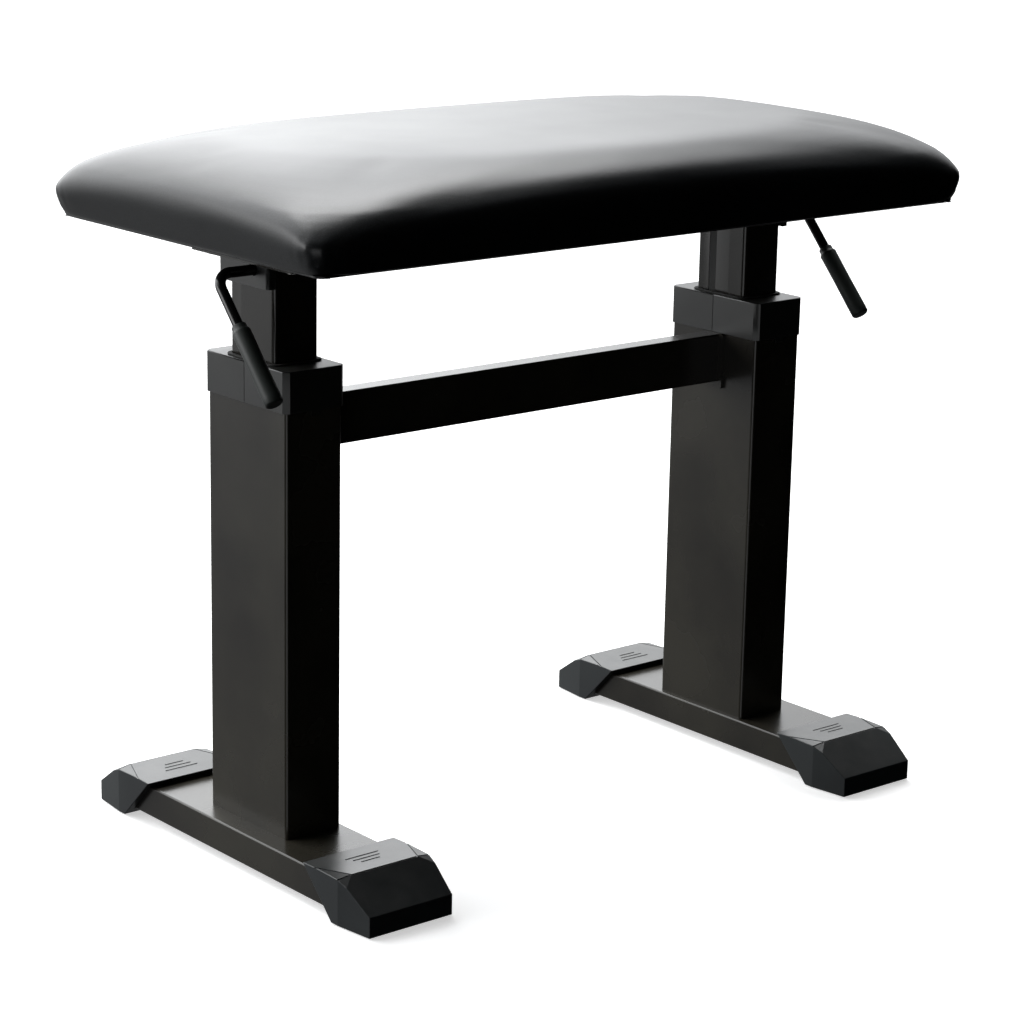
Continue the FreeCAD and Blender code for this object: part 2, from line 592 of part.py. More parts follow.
# --- levers -------------------------------------------------------------------------------
def lever_rod():
    """Round rod: a pivot along X, a right-angle bend, and a leg that hangs down and forward."""
    inner_end = Vector(LEG_X - ROD_INNER_END, PIVOT_Y, PIVOT_Z)
    corner = Vector(LEVER_X, PIVOT_Y, PIVOT_Z)
    bend_start = corner - Vector(LEVER_BEND, 0, 0)
    bend_end = corner + LEG_DIRECTION * LEVER_BEND
    centre = bend_start + LEG_DIRECTION * LEVER_BEND
    outward = corner - centre
    outward.normalize()
    bend_middle = centre + outward * LEVER_BEND
    path = Part.Wire([Part.makeLine(inner_end, bend_start),
                      Part.Arc(bend_start, bend_middle, bend_end).toShape(),
                      Part.makeLine(bend_end, corner + LEG_DIRECTION * ROD_IN_GRIP)])
    section = Part.Wire([Part.makeCircle(ROD_RADIUS, inner_end, Vector(1, 0, 0))])
    return path.makePipeShell([section], True, True)


def lever_grip():
    start = Vector(LEVER_X, PIVOT_Y, PIVOT_Z) + LEG_DIRECTION * (LEVER_LENGTH - GRIP_LENGTH)
    neck = Part.makeCone(ROD_RADIUS + 1.2, GRIP_RADIUS, GRIP_NECK, start, LEG_DIRECTION)
    body = Part.makeCylinder(GRIP_RADIUS, GRIP_LENGTH - GRIP_NECK, start + LEG_DIRECTION * GRIP_NECK,
                             LEG_DIRECTION)
    end_point = start + LEG_DIRECTION * GRIP_LENGTH
    end_edges = [e for e in body.Edges if e.Closed and (e.CenterOfMass - end_point).Length < 0.1]
    body = body.makeFillet(GRIP_END_FILLET, end_edges)
    bore_length = GRIP_LENGTH - GRIP_END_WALL
    bore = Part.makeCylinder(ROD_RADIUS, bore_length + PAST, start - LEG_DIRECTION * PAST, LEG_DIRECTION)
    return neck.fuse(body).cut(bore).removeSplitter()


def release_finger():
    """Finger welded to the pivot over the gas spring; its round nose pushes the pin down."""
    x0 = LEG_X - FINGER_HALF_WIDTH
    x1 = LEG_X + FINGER_HALF_WIDTH
    nose = cylinder_x(x0, x1, 0, NOSE_Z, NOSE_RADIUS)
    web = box(x0, x1, PIVOT_Y, 0, NOSE_Z - 2.2, NOSE_Z + 2.4)
    shaft = cylinder_x(x0 - PAST, x1 + PAST, PIVOT_Y, PIVOT_Z, ROD_RADIUS)
    finger = nose.fuse(web).cut(shaft)
    return max(finger.Solids, key=lambda solid: solid.BoundBox.YMax)


# --- build --------------------------------------------------------------------------------
save_pair("base_bar", base_bar())
cap = front_end_cap()
pad = foot_pad()
save_pair("front_end_cap", cap)
save_pair("rear_end_cap", mirror_y(cap))
save_pair("front_foot_pad", pad)
save_pair("rear_foot_pad", mirror_y(pad))
save("end_cap_screws", Part.makeCompound(all_four(cap_screw())))

save_pair("outer_column", outer_column())
save_pair("column_base_plate", column_base_plate())
save("column_bolts", Part.makeCompound(all_four(column_bolt())))
save_pair("collar", collar())
save_pair("upper_guide", upper_guide())

save("crossbar", crossbar())
save_pair("crossbar_flange", crossbar_flange())
right_screws = [crossbar_screw(z) for z in CROSSBAR_SCREW_Z]
save("crossbar_screws", Part.makeCompound(right_screws + [mirror_x(s) for s in right_screws]))

save_pair("gas_cylinder", gas_cylinder())
save_pair("piston_rod", piston_rod())
save_pair("spring_mount", spring_mount())
save_pair("spring_nut", spring_nut())
save_pair("release_pin", release_pin())

save_pair("inner_column", inner_column())
save_pair("lower_guide", lower_guide())
save_pair("lever_housing", lever_housing())
save_pair("lever_bush", lever_bush())
save_pair("seat_plate", seat_plate())

save("front_seat_rail", seat_rail(-RAIL_Y))
save("rear_seat_rail", seat_rail(RAIL_Y))
board_bottom = SEAT_BOTTOM + DUST_COVER_THICK
save("seat_dust_cover", drilled_for_seat_screws(pocket_sheet(SEAT_BOTTOM, board_bottom)))
save("seat_board", drilled_for_seat_screws(pocket_sheet(board_bottom, board_bottom + BOARD_THICK)))
save("seat_cushion", seat_cushion())
right_seat_screws = [seat_screw(x, y) for x in SEAT_SCREW_X for y in (-SEAT_SCREW_Y, SEAT_SCREW_Y)]
save("seat_screws", Part.makeCompound(right_seat_screws + [mirror_x(s) for s in right_seat_screws]))

save_pair("lever_rod", lever_rod())
save_pair("lever_grip", lever_grip())
save_pair("release_finger", release_finger())
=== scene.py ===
import json
import math

import bmesh
import bpy
from mathutils import Matrix, Vector


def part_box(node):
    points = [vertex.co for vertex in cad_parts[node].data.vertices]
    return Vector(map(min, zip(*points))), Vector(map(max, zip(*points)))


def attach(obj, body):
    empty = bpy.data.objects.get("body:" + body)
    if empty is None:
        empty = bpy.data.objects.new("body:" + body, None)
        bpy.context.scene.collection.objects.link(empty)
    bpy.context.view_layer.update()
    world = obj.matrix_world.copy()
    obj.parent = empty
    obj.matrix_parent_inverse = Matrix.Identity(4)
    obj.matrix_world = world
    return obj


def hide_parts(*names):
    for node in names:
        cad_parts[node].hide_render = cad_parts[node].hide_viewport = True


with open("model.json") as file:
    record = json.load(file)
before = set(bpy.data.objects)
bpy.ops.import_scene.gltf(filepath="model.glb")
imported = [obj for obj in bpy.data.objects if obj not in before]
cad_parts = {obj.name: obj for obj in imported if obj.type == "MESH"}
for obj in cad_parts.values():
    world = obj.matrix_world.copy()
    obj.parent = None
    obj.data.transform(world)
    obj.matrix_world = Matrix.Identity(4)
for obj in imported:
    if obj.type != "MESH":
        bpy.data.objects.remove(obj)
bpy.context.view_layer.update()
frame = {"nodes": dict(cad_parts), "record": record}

sides = {"left": -1, "right": 1}
ends = {"front": -1, "rear": 1}
smoothAngle = math.radians(35)


# working habits: one thing selected, edit mode on and off, faces and edges picked by place
def only(piece):
    bpy.ops.object.select_all(action="DESELECT")
    piece.select_set(True)
    bpy.context.view_layer.objects.active = piece


def startEdit(piece, kind="FACE"):
    only(piece)
    bpy.ops.object.mode_set(mode="EDIT")
    bpy.ops.mesh.select_mode(type=kind)
    bpy.ops.mesh.select_all(action="DESELECT")


def endEdit():
    bpy.ops.object.mode_set(mode="OBJECT")


def pickFaces(piece, wanted):
    mesh = bmesh.from_edit_mesh(piece.data)
    for face in mesh.faces:
        face.select_set(wanted(face.calc_center_median(), face.normal))
    bmesh.update_edit_mesh(piece.data)


def pickEdges(piece, wanted):
    mesh = bmesh.from_edit_mesh(piece.data)
    for edge in mesh.edges:
        edge.select_set(wanted(edge.verts[0].co, edge.verts[1].co))
    bmesh.update_edit_mesh(piece.data)


def settle(piece):
    only(piece)
    bpy.ops.object.transform_apply(location=True, rotation=True, scale=True)


def useModifier(piece, kind, **choices):
    only(piece)
    modifier = piece.modifiers.new(kind.title(), kind)
    for name, value in choices.items():
        setattr(modifier, name, value)
    bpy.ops.object.modifier_apply(modifier=modifier.name)


def smoothShade(piece, angle=smoothAngle):
    only(piece)
    bpy.ops.object.shade_smooth_by_angle(angle=angle)
    useModifier(piece, "WEIGHTED_NORMAL", keep_sharp=True)


def block(name, low, high):
    low, high = Vector(low), Vector(high)
    bpy.ops.object.select_all(action="DESELECT")
    bpy.ops.mesh.primitive_cube_add(size=1, location=(low + high) / 2)
    piece = bpy.context.object
    piece.name = name
    piece.data.name = name
    piece.scale = high - low
    settle(piece)
    return piece


def isUpright(a, b):
    return abs(a.x - b.x) < 1e-5 and abs(a.y - b.y) < 1e-5


def roundUpright(piece, radius, segments):
    startEdit(piece, "EDGE")
    pickEdges(piece, isUpright)
    bpy.ops.mesh.bevel(offset=radius, segments=segments, profile=0.5, affect="EDGES")
    endEdit()


def roundLevel(piece, height, radius, segments):
    startEdit(piece, "EDGE")
    pickEdges(piece, lambda a, b: abs(a.z - height) < 1e-5 and abs(b.z - height) < 1e-5)
    bpy.ops.mesh.bevel(offset=radius, segments=segments, profile=0.5, affect="EDGES")
    endEdit()


def sliceOff(piece, point, outward):
    startEdit(piece)
    bpy.ops.mesh.select_all(action="SELECT")
    bpy.ops.mesh.bisect(plane_co=point, plane_no=Vector(outward).normalized(), threshold=1e-7,
                        use_fill=True, clear_outer=True)
    # the pieces sliced are all convex, so their hull gives clean faces for the next slice
    bpy.ops.mesh.select_all(action="SELECT")
    bpy.ops.mesh.remove_doubles(threshold=2e-5)
    bpy.ops.mesh.convex_hull(delete_unused=True, use_existing_faces=False, join_triangles=False)
    bpy.ops.mesh.select_all(action="SELECT")
    bpy.ops.mesh.dissolve_limited(angle_limit=math.radians(0.5))
    bpy.ops.mesh.normals_make_consistent(inside=False)
    endEdit()


def carve(piece, cutter):
    useModifier(piece, "BOOLEAN", operation="DIFFERENCE", object=cutter, solver="EXACT")
    bpy.data.objects.remove(cutter)


def weld(name, pieces):
    only(pieces[0])
    for piece in pieces[1:]:
        piece.select_set(True)
    bpy.context.view_layer.objects.active = pieces[0]
    if len(pieces) > 1:
        bpy.ops.object.join()
    joined = bpy.context.object
    joined.name = name
    joined.data.name = name
    return joined


def faceOutwards(piece):
    startEdit(piece)
    bpy.ops.mesh.select_all(action="SELECT")
    bpy.ops.mesh.remove_doubles(threshold=1e-6)
    bpy.ops.mesh.normals_make_consistent(inside=False)
    endEdit()


def openFrame(plate, rim):
    # cuts the middle out of a flat plate and leaves a rim round the hole
    startEdit(plate)
    pickFaces(plate, lambda centre, normal: abs(normal.z) > 0.9)
    bpy.ops.mesh.inset(thickness=rim, use_even_offset=True)
    bpy.ops.mesh.bridge_edge_loops()
    endEdit()
    faceOutwards(plate)


def softenEdges(piece, width):
    useModifier(piece, "BEVEL", width=width, segments=3, limit_method="ANGLE", angle_limit=math.radians(50))


def mirroredCopy(piece, name, flipX=1, flipY=1):
    twin = piece.copy()
    twin.data = piece.data.copy()
    twin.name = name
    twin.data.name = name
    bpy.context.scene.collection.objects.link(twin)
    twin.scale = (flipX, flipY, 1)
    settle(twin)
    if flipX * flipY < 0:
        startEdit(twin)
        bpy.ops.mesh.select_all(action="SELECT")
        bpy.ops.mesh.normals_make_consistent(inside=False)
        endEdit()
    return twin


def finishPiece(piece, body, slotName, material, *nodes):
    piece.data.materials.clear()
    piece.data.materials.append(material)
    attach(piece, body)
    if nodes:
        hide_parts(*nodes)
    return piece


# the camera
cameraFacts = {"place": (-1.45709, -1.73429, 0.83173), "yaw": 39.9444, "pitch": 14.7780, "roll": 1.1006,
               "lens": 103.33}


def setCamera(facts):
    yaw, pitch, roll = (math.radians(facts[key]) for key in ("yaw", "pitch", "roll"))
    forward = Vector((math.sin(yaw) * math.cos(pitch), math.cos(yaw) * math.cos(pitch),
                      -math.sin(pitch)))
    level = Vector((math.cos(yaw), -math.sin(yaw), 0))
    above = level.cross(forward)
    across = level * math.cos(roll) + above * math.sin(roll)
    upward = above * math.cos(roll) - level * math.sin(roll)
    turn = Matrix((across, upward, -forward)).transposed().to_4x4()
    bpy.ops.object.camera_add()
    camera = bpy.context.object
    camera.name = "benchCamera"
    camera.matrix_world = Matrix.Translation(facts["place"]) @ turn
    camera.data.sensor_width = 36
    camera.data.lens = facts["lens"]
    bpy.context.scene.camera = camera


setCamera(cameraFacts)
bpy.context.scene.view_settings.view_transform = "Standard"
print("camera set")

# studio: a bright backdrop behind the bench and a dark room in front, on a pale floor
studio = {"back": 3.5, "front": 0.004, "low": 0.31, "depth": (-0.02, 0.6), "height": (-0.33, 0.3),
          "farLeft": 0.45, "leftReach": (-0.75, -0.5), "farRight": 0.36, "rightReach": (0.55, 0.75),
          "card": 1.1, "cardWay": (-0.758, -0.619, -0.2), "cardReach": (0.93, 0.985),
          "tint": (0.97, 0.985, 1.0, 1), "seen": 1.0, "floorGlow": 0.55, "floorSize": 60.0,
          "floorColour": (0.86, 0.86, 0.86, 1)}


def fadeNode(tree, value, reach, low, high, smooth=False):
    node = tree.nodes.new("ShaderNodeMapRange")
    if smooth:
        node.interpolation_type = "SMOOTHSTEP"
    node.inputs["From Min"].default_value, node.inputs["From Max"].default_value = reach
    node.inputs["To Min"].default_value = low
    node.inputs["To Max"].default_value = high
    tree.links.new(value, node.inputs["Value"])
    return node.outputs["Result"]


def mathNode(tree, operation, first, second):
    node = tree.nodes.new("ShaderNodeMath")
    node.operation = operation
    tree.links.new(first, node.inputs[0])
    tree.links.new(second, node.inputs[1])
    return node.outputs[0]


def makeWorld(facts):
    world = bpy.data.worlds.new("studio")
    bpy.context.scene.world = world
    world.use_nodes = True
    tree = world.node_tree
    tree.nodes.clear()
    direction = tree.nodes.new("ShaderNodeTexCoord").outputs["Generated"]
    split = tree.nodes.new("ShaderNodeSeparateXYZ")
    tree.links.new(direction, split.inputs[0])
    depth = fadeNode(tree, split.outputs["Y"], facts["depth"], facts["front"], 1.0, smooth=True)
    height = fadeNode(tree, split.outputs["Z"], facts["height"], facts["low"], facts["back"], smooth=True)
    left = fadeNode(tree, split.outputs["X"], facts["leftReach"], facts["farLeft"], 1.0)
    right = fadeNode(tree, split.outputs["X"], facts["rightReach"], 1.0, facts["farRight"])
    backdrop = mathNode(tree, "MULTIPLY", depth, height)
    bothSides = mathNode(tree, "MULTIPLY", left, right)
    shaded = mathNode(tree, "MULTIPLY", backdrop, bothSides)
    # a small pale card low beside the camera, seen only in rounded and chamfered corners
    nearness = tree.nodes.new("ShaderNodeVectorMath")
    nearness.operation = "DOT_PRODUCT"
    nearness.inputs[1].default_value = facts["cardWay"]
    tree.links.new(direction, nearness.inputs[0])
    card = fadeNode(tree, nearness.outputs["Value"], facts["cardReach"], 0.0, facts["card"], smooth=True)
    lit = tree.nodes.new("ShaderNodeBackground")
    lit.inputs["Color"].default_value = facts["tint"]
    tree.links.new(mathNode(tree, "ADD", shaded, card), lit.inputs["Strength"])
    seen = tree.nodes.new("ShaderNodeBackground")
    seen.inputs["Color"].default_value = (1, 1, 1, 1)
    seen.inputs["Strength"].default_value = facts["seen"]
    ray = tree.nodes.new("ShaderNodeLightPath")
    mix = tree.nodes.new("ShaderNodeMixShader")
    tree.links.new(ray.outputs["Is Camera Ray"], mix.inputs["Fac"])
    tree.links.new(lit.outputs[0], mix.inputs[1])
    tree.links.new(seen.outputs[0], mix.inputs[2])
    out = tree.nodes.new("ShaderNodeOutputWorld")
    tree.links.new(mix.outputs[0], out.inputs["Surface"])


def makeFloor(facts):
    bpy.ops.object.select_all(action="DESELECT")
    bpy.ops.mesh.primitive_plane_add(size=facts["floorSize"], location=(0, 0, -0.0002))
    floor = bpy.context.object
    floor.name = "studioFloor"
    settle(floor)
    material = bpy.data.materials.new("paleFloor")
    material.use_nodes = True
    shader = material.node_tree.nodes["Principled BSDF"]
    shader.inputs["Base Color"].default_value = facts["floorColour"]
    shader.inputs["Roughness"].default_value = 0.9
    shader.inputs["Specular IOR Level"].default_value = 0.1
    shader.inputs["Emission Color"].default_value = (1, 1, 1, 1)
    shader.inputs["Emission Strength"].default_value = facts["floorGlow"]
    floor.data.materials.append(material)
    floor.visible_glossy = False
    floor.visible_diffuse = False


lamps = {
    "topSoftbox": {"place": (0.3, 0.9, 2.6), "aim": (0, 0, 0.4), "size": (2.4, 1.4), "power": 60},
    "leftSoftbox": {"place": (-2.6, 1.4, 0.7), "aim": (0, 0, 0.3), "size": (1.6, 1.2), "power": 18},
}


def makeLamps():
    for name, facts in lamps.items():
        bpy.ops.object.light_add(type="AREA", location=facts["place"])
        lamp = bpy.context.object
        lamp.name = name
        lamp.data.shape = "RECTANGLE"
        lamp.data.size, lamp.data.size_y = facts["size"]
        lamp.data.energy = facts["power"]
        aim = Vector(facts["aim"]) - Vector(facts["place"])
        lamp.rotation_euler = aim.to_track_quat("-Z", "Y").to_euler()


makeWorld(studio)
makeFloor(studio)
makeLamps()
print("studio ready")


# shader node groups shared by the finishes
def newGroup(name, inputs, outputs):
    group = bpy.data.node_groups.new(name, "ShaderNodeTree")
    for label, kind, value in inputs:
        socket = group.interface.new_socket(name=label, in_out="INPUT", socket_type=kind)
        if value is not None:
            socket.default_value = value
    for label, kind in outputs:
        group.interface.new_socket(name=label, in_out="OUTPUT", socket_type=kind)
    return group, group.nodes.new("NodeGroupInput"), group.nodes.new("NodeGroupOutput")


def makeCoatGrain():
    # the fine orange peel of sprayed or powdered paint, and a broad cloudiness in it
    group, given, out = newGroup(
        "coatGrain", [("Place", "NodeSocketVector", None), ("Peel Size", "NodeSocketFloat", 900.0),
                      ("Cloud Size", "NodeSocketFloat", 9.0)],
        [("Height", "NodeSocketFloat"), ("Cloud", "NodeSocketFloat")])
    peel = group.nodes.new("ShaderNodeTexNoise")
    peel.inputs["Detail"].default_value = 2.0
    cloud = group.nodes.new("ShaderNodeTexNoise")
    cloud.inputs["Detail"].default_value = 4.0
    group.links.new(given.outputs["Place"], peel.inputs["Vector"])
    group.links.new(given.outputs["Peel Size"], peel.inputs["Scale"])
    group.links.new(given.outputs["Place"], cloud.inputs["Vector"])
    group.links.new(given.outputs["Cloud Size"], cloud.inputs["Scale"])
    group.links.new(peel.outputs["Fac"], out.inputs["Height"])
    group.links.new(cloud.outputs["Fac"], out.inputs["Cloud"])
    return group


def makeDustFall():
    # light dust that settles on faces that look up, thicker in drifts
    group, given, out = newGroup("dustFall",
                                 [("Place", "NodeSocketVector", None), ("Amount", "NodeSocketFloat", 0.1)],
                                 [("Mask", "NodeSocketFloat")])
    facing = group.nodes.new("ShaderNodeNewGeometry")
    split = group.nodes.new("ShaderNodeSeparateXYZ")
    drift = group.nodes.new("ShaderNodeTexNoise")
    drift.inputs["Scale"].default_value = 60.0
    drift.inputs["Detail"].default_value = 6.0
    group.links.new(facing.outputs["Normal"], split.inputs[0])
    group.links.new(given.outputs["Place"], drift.inputs["Vector"])
    upness = fadeNode(group, split.outputs["Z"], (0.55, 1.0), 0.0, 1.0)
    settled = mathNode(group, "MULTIPLY", upness, drift.outputs["Fac"])
    group.links.new(mathNode(group, "MULTIPLY", settled, given.outputs["Amount"]), out.inputs["Mask"])
    return group


def makeScuffs():
    # sparse hairline rubs, broken up so that they come in patches
    group, given, out = newGroup("scuffs",
                                 [("Place", "NodeSocketVector", None), ("Amount", "NodeSocketFloat", 0.3)],
                                 [("Mask", "NodeSocketFloat")])
    stretch = group.nodes.new("ShaderNodeMapping")
    stretch.inputs["Scale"].default_value = (260.0, 30.0, 90.0)
    stretch.inputs["Rotation"].default_value = (0.3, 0.5, 0.8)
    hair = group.nodes.new("ShaderNodeTexNoise")
    hair.inputs["Scale"].default_value = 1.0
    hair.inputs["Detail"].default_value = 5.0
    patch = group.nodes.new("ShaderNodeTexNoise")
    patch.inputs["Scale"].default_value = 14.0
    group.links.new(given.outputs["Place"], stretch.inputs["Vector"])
    group.links.new(stretch.outputs[0], hair.inputs["Vector"])
    group.links.new(given.outputs["Place"], patch.inputs["Vector"])
    thin = fadeNode(group, hair.outputs["Fac"], (0.66, 0.74), 0.0, 1.0)
    patchy = fadeNode(group, patch.outputs["Fac"], (0.5, 0.7), 0.0, 1.0)
    rubs = mathNode(group, "MULTIPLY", thin, patchy)
    group.links.new(mathNode(group, "MULTIPLY", rubs, given.outputs["Amount"]), out.inputs["Mask"])
    return group


def makeHideGrain():
    # pebbled leather grain: small cells with creases between them, their outlines bent by a broader noise
    group, given, out = newGroup(
        "hideGrain", [("Place", "NodeSocketVector", None), ("Pebble Size", "NodeSocketFloat", 700.0)],
        [("Height", "NodeSocketFloat"), ("Crease Shade", "NodeSocketFloat")])
    warp = group.nodes.new("ShaderNodeTexNoise")
    warp.inputs["Scale"].default_value = 240.0
    bend = group.nodes.new("ShaderNodeVectorMath")
    bend.operation = "MULTIPLY_ADD"
    bend.inputs[1].default_value = (0.0016, 0.0016, 0.0016)
    cells = group.nodes.new("ShaderNodeTexVoronoi")
    cells.feature = "DISTANCE_TO_EDGE"
    group.links.new(given.outputs["Place"], warp.inputs["Vector"])
    group.links.new(warp.outputs["Color"], bend.inputs[0])
    group.links.new(given.outputs["Place"], bend.inputs[2])
    group.links.new(bend.outputs[0], cells.inputs["Vector"])
    group.links.new(given.outputs["Pebble Size"], cells.inputs["Scale"])
    rounded = fadeNode(group, cells.outputs["Distance"], (0.0, 0.22), 0.0, 1.0, smooth=True)
    group.links.new(rounded, out.inputs["Height"])
    # the same cell mask is given out again to darken the colour in the creases between pebbles: painted
    # shade
    group.links.new(rounded, out.inputs["Crease Shade"])
    return group


groups = {"coatGrain": makeCoatGrain(), "dustFall": makeDustFall(), "scuffs": makeScuffs(),
          "hideGrain": makeHideGrain()}


class Finish:
    # one material being put together: its tree, its shader and the place it reads
    def __init__(self, name):
        self.material = bpy.data.materials.new(name)
        self.material.use_nodes = True
        self.tree = self.material.node_tree
        self.shader = self.tree.nodes["Principled BSDF"]
        self.place = self.tree.nodes.new("ShaderNodeTexCoord").outputs["Object"]

    def node(self, kind):
        return self.tree.nodes.new(kind)

    def link(self, start, end):
        self.tree.links.new(start, end)

    def group(self, name, **values):
        node = self.node("ShaderNodeGroup")
        node.node_tree = groups[name]
        self.link(self.place, node.inputs["Place"])
        for label, value in values.items():
            node.inputs[label].default_value = value
        return node

    def uniform(self, **values):
        for label, value in values.items():
            self.shader.inputs[label.replace("_", " ")].default_value = value

    def mixColour(self, factor, first, second):
        node = self.node("ShaderNodeMix")
        node.data_type = "RGBA"
        self.link(factor, node.inputs["Factor"])
        for value, socket in ((first, node.inputs[6]), (second, node.inputs[7])):
            if isinstance(value, bpy.types.NodeSocket):
                self.link(value, socket)
            else:
                socket.default_value = (*value, 1)
        return node.outputs[2]

    def spread(self, factor, low, high, fromLow=0.0, fromHigh=1.0):
        return fadeNode(self.tree, factor, (fromLow, fromHigh), low, high)

    def bump(self, height, strength, distance):
        node = self.node("ShaderNodeBump")
        node.inputs["Strength"].default_value = strength
        node.inputs["Distance"].default_value = distance
        self.link(height, node.inputs["Height"])
        self.link(node.outputs["Normal"], self.shader.inputs["Normal"])


# painted metal and moulded plastic differ only in these values
hardFinishes = {
    "columnPaint": {
        "dark": (0.016, 0.014, 0.011), "light": (0.030, 0.027, 0.019), "rough": (0.22, 0.29),
        "peel": 1100.0, "depth": 0.00004, "bump": 0.35, "dust": 0.04, "scuff": 0.25},
    "innerColumnPaint": {
        "dark": (0.012, 0.011, 0.010), "light": (0.018, 0.016, 0.012), "rough": (0.17, 0.23),
        "peel": 1300.0, "depth": 0.00003, "bump": 0.3, "dust": 0.03, "scuff": 0.45},
    "collarPlastic": {
        "dark": (0.016, 0.017, 0.017), "light": (0.020, 0.021, 0.018), "rough": (0.33, 0.40),
        "peel": 2200.0, "depth": 0.00005, "bump": 0.3, "dust": 0.10, "scuff": 0.2},
    "capPlastic": {
        "dark": (0.018, 0.021, 0.023), "light": (0.026, 0.031, 0.032), "rough": (0.31, 0.39),
        "peel": 1900.0, "depth": 0.00007, "bump": 0.4, "dust": 0.22, "scuff": 0.5},
    "leverPaint": {
        "dark": (0.006, 0.006, 0.006), "light": (0.011, 0.011, 0.012), "rough": (0.14, 0.22),
        "peel": 700.0, "depth": 0.00003, "bump": 0.2, "dust": 0.02, "scuff": 0.3},
    "gripPlastic": {
        "dark": (0.012, 0.016, 0.014), "light": (0.020, 0.026, 0.023), "rough": (0.44, 0.54),
        "peel": 1700.0, "depth": 0.00006, "bump": 0.4, "dust": 0.05, "scuff": 0.3},
    "padRubber": {
        "dark": (0.010, 0.010, 0.010), "light": (0.022, 0.022, 0.021), "rough": (0.7, 0.85),
        "peel": 1500.0, "depth": 0.0001, "bump": 0.5, "dust": 0.2, "scuff": 0.4},
    "springBlack": {
        "dark": (0.010, 0.010, 0.010), "light": (0.020, 0.020, 0.021), "rough": (0.2, 0.3),
        "peel": 1100.0, "depth": 0.00003, "bump": 0.3, "dust": 0.0, "scuff": 0.3},
    "zincSteel": {
        "dark": (0.42, 0.42, 0.41), "light": (0.60, 0.60, 0.61), "rough": (0.28, 0.42),
        "peel": 500.0, "depth": 0.00003, "bump": 0.3, "dust": 0.02, "scuff": 0.5, "metal": 1.0},
    "chromedRod": {
        "dark": (0.68, 0.69, 0.70), "light": (0.76, 0.77, 0.78), "rough": (0.06, 0.12),
        "peel": 400.0, "depth": 0.00001, "bump": 0.1, "dust": 0.0, "scuff": 0.2, "metal": 1.0},
    "guideNylon": {
        "dark": (0.52, 0.51, 0.46), "light": (0.66, 0.65, 0.60), "rough": (0.4, 0.5),
        "peel": 900.0, "depth": 0.00004, "bump": 0.3, "dust": 0.02, "scuff": 0.3},
}


def makeHardFinish(name, look):
    finish = Finish(name)
    grain = finish.group("coatGrain", **{"Peel Size": look["peel"]})
    dust = finish.group("dustFall", Amount=look["dust"])
    scuffs = finish.group("scuffs", Amount=look["scuff"])
    cloud = finish.spread(grain.outputs["Cloud"], 0.0, 1.0, 0.35, 0.65)
    clean = finish.mixColour(cloud, look["dark"], look["light"])
    rubbed = finish.mixColour(scuffs.outputs["Mask"], clean, [min(1.0, 2.2 * v) for v in look["light"]])
    dusty = finish.mixColour(dust.outputs["Mask"], rubbed, (0.30, 0.29, 0.27))
    finish.link(dusty, finish.shader.inputs["Base Color"])
    rough = finish.spread(grain.outputs["Cloud"], *look["rough"], 0.3, 0.7)
    finish.link(rough, finish.shader.inputs["Roughness"])
    finish.uniform(Metallic=look.get("metal", 0.0))
    finish.bump(grain.outputs["Height"], look["bump"], look["depth"])
    return finish.material


leatheretteLook = {"dark": (0.008, 0.009, 0.010), "light": (0.013, 0.015, 0.017),
                   "rough": (0.29, 0.37), "pebble": 620.0, "depth": 0.00010, "bump": 0.22, "dust": 0.02}


def makeLeatherette(look):
    finish = Finish("leatherette")
    hide = finish.group("hideGrain", **{"Pebble Size": look["pebble"]})
    clouds = finish.group("coatGrain", **{"Peel Size": 300.0, "Cloud Size": 5.0})
    dust = finish.group("dustFall", Amount=look["dust"])
    cloud = finish.spread(clouds.outputs["Cloud"], 0, 1, 0.35, 0.65)
    tone = finish.mixColour(cloud, look["dark"], look["light"])
    # the creases between pebbles are painted darker than the tone around them: painted shade in the grain
    creaseShaded = finish.mixColour(hide.outputs["Crease Shade"], [0.6 * v for v in look["dark"]], tone)
    dusty = finish.mixColour(dust.outputs["Mask"], creaseShaded, (0.20, 0.20, 0.20))
    finish.link(dusty, finish.shader.inputs["Base Color"])
    rough = finish.spread(clouds.outputs["Cloud"], *look["rough"], 0.3, 0.7)
    finish.link(rough, finish.shader.inputs["Roughness"])
    finish.bump(hide.outputs["Height"], look["bump"], look["depth"])
    return finish.material


def makePlywood():
    finish = Finish("plywood")
    squeeze = finish.node("ShaderNodeMapping")
    squeeze.inputs["Scale"].default_value = (4.0, 60.0, 400.0)
    finish.link(finish.place, squeeze.inputs["Vector"])
    veins = finish.node("ShaderNodeTexNoise")
    veins.inputs["Scale"].default_value = 2.0
    veins.inputs["Detail"].default_value = 8.0
    finish.link(squeeze.outputs[0], veins.inputs["Vector"])
    tone = finish.mixColour(finish.spread(veins.outputs["Fac"], 0, 1, 0.35, 0.65), (0.36, 0.24, 0.13),
                            (0.60, 0.45, 0.28))
    finish.link(tone, finish.shader.inputs["Base Color"])
    finish.link(finish.spread(veins.outputs["Fac"], 0.55, 0.7), finish.shader.inputs["Roughness"])
    finish.bump(veins.outputs["Fac"], 0.3, 0.0002)
    return finish.material


def makeDustCloth():
    # non-woven cloth: short pressed fibres and a faint grid of weld dots
    finish = Finish("dustCloth")
    fibres = finish.group("coatGrain", **{"Peel Size": 1600.0, "Cloud Size": 30.0})
    dots = finish.node("ShaderNodeTexVoronoi")
    dots.inputs["Scale"].default_value = 420.0
    dots.inputs["Randomness"].default_value = 0.15
    finish.link(finish.place, dots.inputs["Vector"])
    spots = finish.spread(dots.outputs["Distance"], 0.0, 1.0, 0.18, 0.4)
    tone = finish.mixColour(spots, (0.007, 0.007, 0.008), (0.024, 0.024, 0.025))
    finish.link(tone, finish.shader.inputs["Base Color"])
    finish.uniform(Roughness=0.9)
    finish.bump(mathNode(finish.tree, "ADD", spots, fibres.outputs["Height"]), 0.5, 0.0001)
    return finish.material


